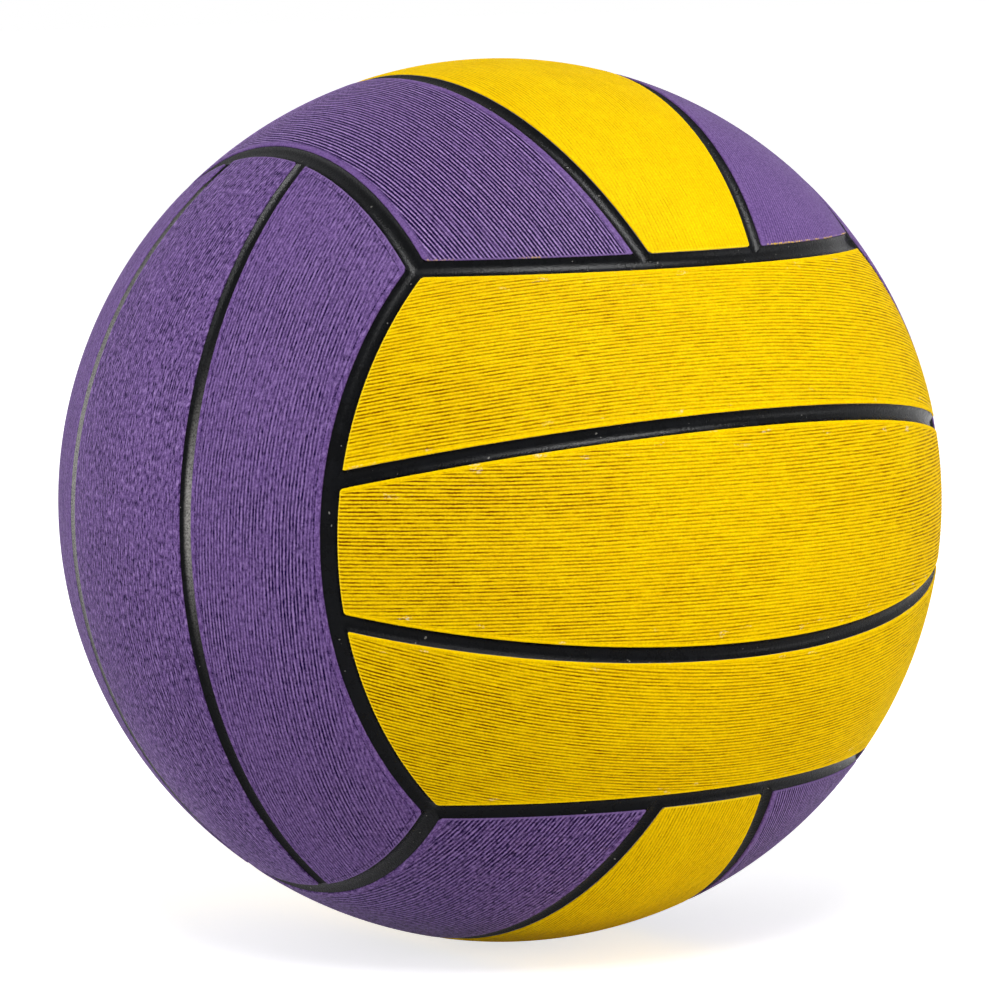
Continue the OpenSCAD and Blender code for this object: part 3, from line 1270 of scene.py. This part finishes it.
@dataclass
class Carcass:
    """The black shell whose hollow channels show between the strips."""

    rubber: PlainRubber = CARCASS_RUBBER
    inner_radius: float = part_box("winding")[1].z
    valve_hole: float = 4.5 * MM
    # A channel's depth below the strips' feet at its middle, and the height that its sides rise to
    hollow: float = 0.4 * MM
    rise: float = 0.62 * MM
    # How steeply the sides rise, as a power of the distance from the middle
    steepness: float = 2.3
    # The left face's rear seam came out of the mould nearly flush, so its middle lies this high
    flush: float = 0.62 * MM
    flush_rise: float = 0.9 * MM
    # How far from the seam's end it starts to fill up, and over what length
    flush_start: float = 3 * MM
    flush_blend: float = 9 * MM
    # Distances of the lines beside a channel's middle, in millimetres; the last two lie under a strip
    seam_steps: tuple[float, ...] = (0.5, 0.9, 1.25, 1.5, 1.7, 1.89, 1.93, 2.4)
    border_steps: tuple[float, ...] = (0.55, 1.0, 1.4, 1.7, 1.95, 2.14, 2.18, 2.6)
    # Places of the lines under a middle strip, and number of steps under an outer one
    middle_lines: tuple[float, ...] = (0.08, 0.165, 0.33, 0.5, 0.67, 0.84)
    outer_steps: int = 9
    # Painted highlight with a dusty grain in the left face's front and rear seam: its share, its middle
    # along the seam and its reach
    front_dusty_highlight: tuple[float, float, float] = (0.75, 7 * MM, 20 * MM)
    rear_dusty_highlight: tuple[float, float, float] = (0.5, 20 * MM, 45 * MM)
    # How far short of the front seam's middle the painted highlight begins, and over what length it grows
    highlight_start: float = 1.4 * MM
    highlight_blend: float = 0.9 * MM

    def _lines(self) -> tuple[np.ndarray, np.ndarray]:
        """Lists the planes of the lines that follow the seams, from one border to the other.

        Returns:
            Lean of each plane about the face's X axis, and its offset.
        """
        tilt, middle = FORM.seam_tilt, np.array(self.middle_lines)
        steps = np.array(self.seam_steps) * MM / FORM.radius
        seam = np.concatenate([-steps[::-1], [0], steps])
        outer = np.linspace(0, 1, self.outer_steps + 1)[1:-1]
        gaps = np.array([0, *self.border_steps])[::-1] * MM / FORM.radius
        edge = np.sin(math.asin(BORDER) - gaps)
        lean = np.concatenate([
            tilt * middle, np.full(len(seam), tilt), tilt * (1 - outer), np.zeros(len(edge))
        ])
        offset = np.concatenate([
            seam[0] * middle, seam, seam[-1] * (1 - outer) + edge[0] * outer, edge
        ])
        return np.concatenate([-lean[::-1], [0], lean]), np.concatenate([-offset[::-1], [0], offset])

    def _patch(self, face: Face, radius: float, plain: bool) -> bpy.types.Object:
        """Models one face's share of the shell, out to the middle of the channels round it.

        Args:
            face: The ball's face.
            radius: Radius of the surface.
            plain: Leaves the channels out, and every other line.

        Returns:
            The patch.
        """
        # A border's ring has this radius, and each line of the next face meets it at a spot
        ring_radius = math.sqrt(2 / 3)
        lean, offset = self._lines()
        meeting = np.arcsin((offset + BORDER * np.sin(lean)) / np.cos(lean) / ring_radius)
        spots = (meeting + math.pi / 4) * ring_radius
        # Rows beside the ends keep their true distance from the border, as the lines do
        near = np.array([0, *self.border_steps]) * MM / FORM.radius
        rows = np.arange(len(lean))
        if plain:
            lean, offset, rows = lean[::2], offset[::2], rows[::2]
        patch, lines = flat_grid(f"{face.name.lower()}_patch", len(lean), len(lean))
        lean, offset, row = lean[lines[:, 1]], offset[lines[:, 1]], rows[lines[:, 0]]
        from_end = np.minimum(row, len(spots) - 1 - row)
        height = np.sin(math.asin(BORDER) + near[np.minimum(from_end, len(near) - 1)])
        turn = ring_reach(lean, offset, height)
        middle = len(spots) // 2
        share = (spots[row] - spots[middle]) / (spots[middle] - spots[len(near) - 1])
        angle = np.where(from_end < len(near), np.sign(row - middle) * turn, share * turn)
        on_border = (lines[:, 1] == 0) | (lines[:, 1] == lines[:, 1].max())
        points = ring_points(lean, offset, np.where(on_border, meeting[row], angle))
        if face is Face.BACK:
            hole = open_hole(points, lines, self.valve_hole)
        rise, dust_and_highlight = (0, 0) if plain else self._channels(points, face)
        write_vectors(patch.data, DUSTY_HIGHLIGHT, dust_and_highlight, dust_and_highlight, dust_and_highlight)
        write_points(patch.data, face.to_ball(points) * np.reshape(radius + rise, (-1, 1)))
        if face is Face.BACK:
            cut_out(patch, hole)
        return patch

    def _channels(self, points: np.ndarray, face: Face) -> tuple[np.ndarray, np.ndarray]:
        """Hollows the channels out, and paints a highlight with a dusty grain on the left face's two
        seams.

        Args:
            points: Points.
            face: The ball's face.

        Returns:
            Heights above the strips' feet in metres, and shares of the painted seam highlight.
        """
        along, side, out = points.T
        beyond = np.abs(side)
        seam = angle_of(beyond * math.cos(FORM.seam_tilt) - out * math.sin(FORM.seam_tilt))
        end, edge = (angle_of(sine) - math.asin(BORDER) for sine in (out, beyond))
        gaps = ((seam, self.seam_steps), (end, self.border_steps), (edge, self.border_steps))
        shares = [np.abs(gap) * FORM.radius / (steps[-3] * MM) for gap, steps in gaps]
        share = np.min(shares, axis=0)
        filled = dust_and_highlight = np.zeros(len(points))
        if face is Face.LEFT:
            filled = eased((end * FORM.radius - self.flush_start) / self.flush_blend)
            filled = filled * (side > 0) * (share > shares[0] - 1e-9)
            # A pale film on the left face's two seams: a painted highlight with a dusty grain
            bands = [
                strength * bell(along * FORM.radius - middle, reach)
                for strength, middle, reach in (self.front_dusty_highlight, self.rear_dusty_highlight)
            ]
            # The front seam's painted highlight lies on the side of its strip
            bands[0] = bands[0] * eased((seam * FORM.radius + self.highlight_start) / self.highlight_blend)
            dust_and_highlight = np.where(side > 0, bands[1], bands[0]) * eased((out - FORM.end_cosine) / 0.04)
            dust_and_highlight = dust_and_highlight * (shares[0] < 1.005)
        low = -self.hollow + (self.hollow + self.flush) * filled
        high = self.rise + (self.flush_rise - self.rise) * filled
        bowl = np.clip(share, 0, 1) ** self.steepness
        return np.where(share < 1.01, (high - low) * bowl + low, 0), dust_and_highlight

    def _surface(self, name: str, radius: float, plain: bool) -> bpy.types.Object:
        """Joins the six patches to one surface, with the valve's hole in it.

        Args:
            name: Name of the surface.
            radius: Its radius.
            plain: Leaves the channels out, and every other line.

        Returns:
            The surface.
        """
        surface, *others = (self._patch(face, radius, plain) for face in Face)
        join_into(surface, others)
        merge_doubles(surface, 0.01 * MM)
        surface.name = surface.data.name = name
        return surface

    def build(self) -> None:
        """Models the shell and dresses it."""
        shell = self._surface("channelled_carcass", FORM.foot_radius, False)
        join_into(shell, [self._surface("carcass_inside", self.inner_radius, True)])
        bridge_open_loops(shell, open_edges(shell.data))
        face_outwards(shell)
        dress(shell, "carcass", self.rubber.make(), crease=30)


@dataclass
class Lining:
    """The wound thread and the bladder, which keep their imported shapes."""

    finishes: dict[str, Finish] = field(
        default_factory=lambda: {"winding": NylonThread(), "bladder": BUTYL_RUBBER}
    )

    def build(self) -> None:
        """Dresses both shells."""
        for name, finish in self.finishes.items():
            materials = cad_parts[name].data.materials
            materials.clear()
            materials.append(finish.make())
            log.info("%s: %s", name, finish.name)


@dataclass
class Valve:
    """The rubber valve in the back: a housing moulded into the wall, and the plug pressed into it."""

    # Where the valve's outer face and the housing's inner end lie along Y
    face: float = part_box("valve_plug")[1].y
    inner_end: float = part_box("valve_housing")[0].y
    neck_radius: float = 4.5 * MM
    # The flange under the bladder: its rim, its thickness there, and the ball that its top lies on
    flange_radius: float = 14 * MM
    flange_thickness: float = 1.2 * MM
    dome_radius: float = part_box("bladder")[1].z - 0.9 * MM
    barrel_radius: float = 4.2 * MM
    vent_radius: float = 1.5 * MM
    # The plug: head, shank and the ridge that holds it, and the hole for the needle
    head_radius: float = 3 * MM
    head_thickness: float = 1.2 * MM
    # How far the head's middle stands proud of the valve's face, and its rim lies below it
    crown: float = 0.08 * MM
    rim_drop: float = 0.04 * MM
    shank_radius: float = 2.2 * MM
    ridge_radius: float = 2.8 * MM
    ridge_start: float = 11 * MM
    ridge_length: float = 2.4 * MM
    plug_length: float = 17 * MM
    guide_radius: float = 1.05 * MM
    guide_depth: float = 8.6 * MM
    funnel_radius: float = 1.6 * MM
    funnel_depth: float = 0.6 * MM
    slit: tuple[float, float] = (1.6 * MM, 0.2 * MM)
    # How far the cutter of the slit reaches into the guide hole, and past the plug's tip
    slit_over: tuple[float, float] = (0.1 * MM, 0.7 * MM)
    segments: int = 96

    def _turned(self, name: str, corners: Sequence[tuple[float, float, float]]) -> bpy.types.Object:
        """Rounds the corners of an outline and turns it round the valve's axis.

        Args:
            name: Name of the piece.
            corners: Radius, place along Y, and size of the rounding in millimetres, of each corner.

        Returns:
            The piece.
        """
        outline = []
        places = np.array([corner[:2] for corner in corners])
        before, after = np.roll(places, 1, axis=0), np.roll(places, -1, axis=0)
        for here, last, following, (_, _, size) in zip(places, before, after, corners):
            back, on = (way / np.linalg.norm(way) * size * MM for way in (last - here, following - here))
            for share in np.linspace(0, 1, 6) if size else [0]:
                outline.append(here + back * (1 - share) ** 2 + on * share**2)
        piece, lines = flat_grid(name, self.segments + 1, len(outline) + 1)
        radius, height = np.array([*outline, outline[0]])[lines[:, 1]].T
        turn = lines[:, 0] * (2 * math.pi / self.segments)
        points = np.stack([radius * np.sin(turn), height, radius * np.cos(turn)], axis=1)
        write_points(piece.data, points)
        merge_doubles(piece, 0.001 * MM)
        face_outwards(piece)
        return piece

    def _housing(self) -> bpy.types.Object:
        """Models the housing, with its socket for the plug and the vent into the bladder.

        Returns:
            The housing.
        """
        seat, tip = self.face - self.head_thickness, self.face - self.plug_length
        groove = self.face - self.ridge_start
        rim, *dome, top = (
            (radius, math.sqrt(self.dome_radius**2 - radius**2), 0)
            for radius in np.linspace(self.flange_radius, self.neck_radius, 9)
        )
        return self._turned("moulded_valve_housing", [
            (self.head_radius, seat, 0.1),
            (self.head_radius, self.face, 0.12),
            (self.neck_radius, self.face, 0.3),
            top,
            *dome[::-1],
            (*rim[:2], 0.2),
            (self.flange_radius, rim[1] - self.flange_thickness, 0.3),
            (self.barrel_radius, rim[1] - self.flange_thickness, 0.8),
            (self.barrel_radius, self.inner_end, 0.7),
            (self.vent_radius, self.inner_end, 0.3),
            (self.vent_radius, tip, 0.1),
            (self.shank_radius, tip, 0.1),
            (self.shank_radius, groove - self.ridge_length, 0.1),
            (self.ridge_radius, groove - self.ridge_length, 0.2),
            (self.ridge_radius, groove, 0.2),
            (self.shank_radius, groove, 0.1),
            (self.shank_radius, seat, 0.1),
        ])

    def _plug(self) -> bpy.types.Object:
        """Models the plug, with its guide hole and the slit that closes behind the needle.

        Returns:
            The plug.
        """
        seat, tip = self.face - self.head_thickness, self.face - self.plug_length
        ridge, floor = self.face - self.ridge_start, self.face - self.guide_depth
        plug = self._turned("soft_valve_plug", [
            (0, floor, 0),
            (self.guide_radius, floor, 0.2),
            (self.guide_radius, self.face - self.funnel_depth, 0.2),
            (self.funnel_radius, self.face + self.crown, 0.25),
            (self.head_radius, self.face - self.rim_drop, 0.3),
            (self.head_radius, seat, 0.1),
            (self.shank_radius, seat, 0.1),
            (self.shank_radius, ridge, 0.1),
            (self.ridge_radius, ridge, 0.3),
            (self.ridge_radius, ridge - self.ridge_length, 0.5),
            (self.shank_radius, ridge - self.ridge_length, 0.1),
            (self.shank_radius, tip, 0.5),
            (0, tip, 0),
        ])
        start, end = floor + self.slit_over[0], tip - self.slit_over[1]
        bpy.ops.object.select_all(action="DESELECT")
        bpy.ops.mesh.primitive_cube_add(
            size=1, location=(0, (start + end) / 2, 0), scale=(self.slit[0], start - end, self.slit[1])
        )
        cutter = bpy.context.object
        bpy.context.view_layer.objects.active = plug
        cut = plug.modifiers.new("slit", "BOOLEAN")
        cut.operation = "DIFFERENCE"
        cut.object = cutter
        bpy.ops.object.modifier_apply(modifier="slit")
        bpy.data.objects.remove(cutter)
        return plug

    def build(self) -> None:
        """Models both pieces and dresses them."""
        housing, plug = self._housing(), self._plug()
        dress(housing, "valve_housing", HOUSING_RUBBER.make(), crease=35)
        dress(plug, "valve_plug", PLUG_RUBBER.make(), crease=35)


@dataclass
class Studio:
    """Camera, lamps, backdrop and floor."""

    azimuth: float = math.radians(-33.65)
    elevation: float = math.radians(6.09)
    roll: float = math.radians(-1.57)
    # Distance in ball radii, and the ball's radius in the picture as a share of its width
    distance: float = 10.96
    ball_share: float = 0.44193
    sensor: float = 36.0
    # Strength of the sky's light, and of the white that the camera and reflections see
    sky: float = 0.45
    white: float = 1.0
    floor_size: float = 60.0
    # The floor's paint under light and as seen, and the glow that makes it white where it is seen
    paint: tuple[str, str] = ("#e4e4e4", "#ececec")
    glow: float = 0.68

    def _camera(self) -> None:
        """Sets the camera at the place from which the ball is seen."""
        away = Vector((
            math.sin(self.azimuth) * math.cos(self.elevation),
            -math.cos(self.azimuth) * math.cos(self.elevation),
            math.sin(self.elevation),
        ))
        bpy.ops.object.select_all(action="DESELECT")
        bpy.ops.object.camera_add(location=away * self.distance * FORM.radius)
        camera = bpy.context.object
        camera.name = "camera"
        camera.rotation_mode = "QUATERNION"
        turn = (-away).to_track_quat("-Z", "Y")
        turn.rotate(Quaternion(away, self.roll))
        camera.rotation_quaternion = turn
        camera.data.sensor_width = self.sensor
        camera.data.lens = self.ball_share / math.tan(math.asin(1 / self.distance)) * self.sensor
        bpy.context.scene.camera = camera

    def _lamp(
        self, name: str, place: Sequence[float], size: float, power: float, gloss: bool = False
    ) -> None:
        """Adds a soft square lamp that faces the ball.

        Args:
            name: Name of the lamp.
            place: Where it stands.
            size: Length of its sides.
            power: Its power in watts.
            gloss: Lights nothing and shows only in highlights.
        """
        bpy.ops.object.light_add(type="AREA", location=place)
        lamp = bpy.context.object
        lamp.name = name
        lamp.data.size = size
        lamp.data.energy = power
        lamp.rotation_mode = "QUATERNION"
        lamp.rotation_quaternion = (-Vector(place)).to_track_quat("-Z", "Y")
        lamp.visible_diffuse = not gloss

    def _seen(self, add: AddNode) -> bpy.types.Node:
        """Tells what the camera sees, directly, in a gloss or through glass, from all else.

        Args:
            add: Adds a node.

        Returns:
            A node that gives one or zero.
        """
        path = add("LightPath").outputs
        seen = add("Math", [path["Is Camera Ray"], path["Is Glossy Ray"]], operation="ADD")
        return add("Math", [seen, path["Is Transmission Ray"]], operation="ADD", use_clamp=True)

    def _world(self) -> None:
        """Gives a soft sky light, and white to the camera and to reflections."""
        world = bpy.context.scene.world = bpy.data.worlds.new("studio")
        add = empty_nodes(world)
        dim, bright = (add("Background", [linear("#ffffff"), power]) for power in (self.sky, self.white))
        add("OutputWorld", [add("MixShader", [self._seen(add), dim, bright])])

    def _floor(self) -> None:
        """Lays a white floor under the ball, which keeps the ball's shadow."""
        bpy.ops.object.select_all(action="DESELECT")
        bpy.ops.mesh.primitive_plane_add(size=self.floor_size, location=(0, 0, CAD_BOX[0].z))
        floor = bpy.context.object
        floor.name = "floor"
        material = bpy.data.materials.new("floor_white")
        add = empty_nodes(material)
        seen = self._seen(add)
        none, glow = (add("Emission", [linear("#ffffff"), power]) for power in (0.0, self.glow))
        colours = {0: seen, 6: linear(self.paint[0]), 7: linear(self.paint[1])}
        paint = add("BsdfDiffuse", [add("Mix", colours, data_type="RGBA")])
        both = add("AddShader", [paint, add("MixShader", [seen, none, glow])])
        add("OutputMaterial", [both])
        floor.data.materials.append(material)

    def build(self) -> None:
        """Sets the whole studio up."""
        bpy.context.scene.view_settings.view_transform = "Standard"
        self._camera()
        self._lamp("key", (-0.9, -1.5, 2.0), 0.9, 44.5)
        self._lamp("fill", (1.7, -1.6, -0.05), 1.0, 31)
        self._lamp("rim", (-1.5, 1.6, 0.3), 0.9, 15)
        self._lamp("shine", (0.15, -0.85, 2.1), 0.8, 150, gloss=True)
        self._world()
        self._floor()


def main() -> None:
    """Builds the ball and its studio."""
    logging.basicConfig(level=logging.INFO, format="%(name)s: %(message)s")
    for part in (Studio, Cover, Carcass, Lining, Valve):
        part().build()


if __name__ == "__main__":
    main()
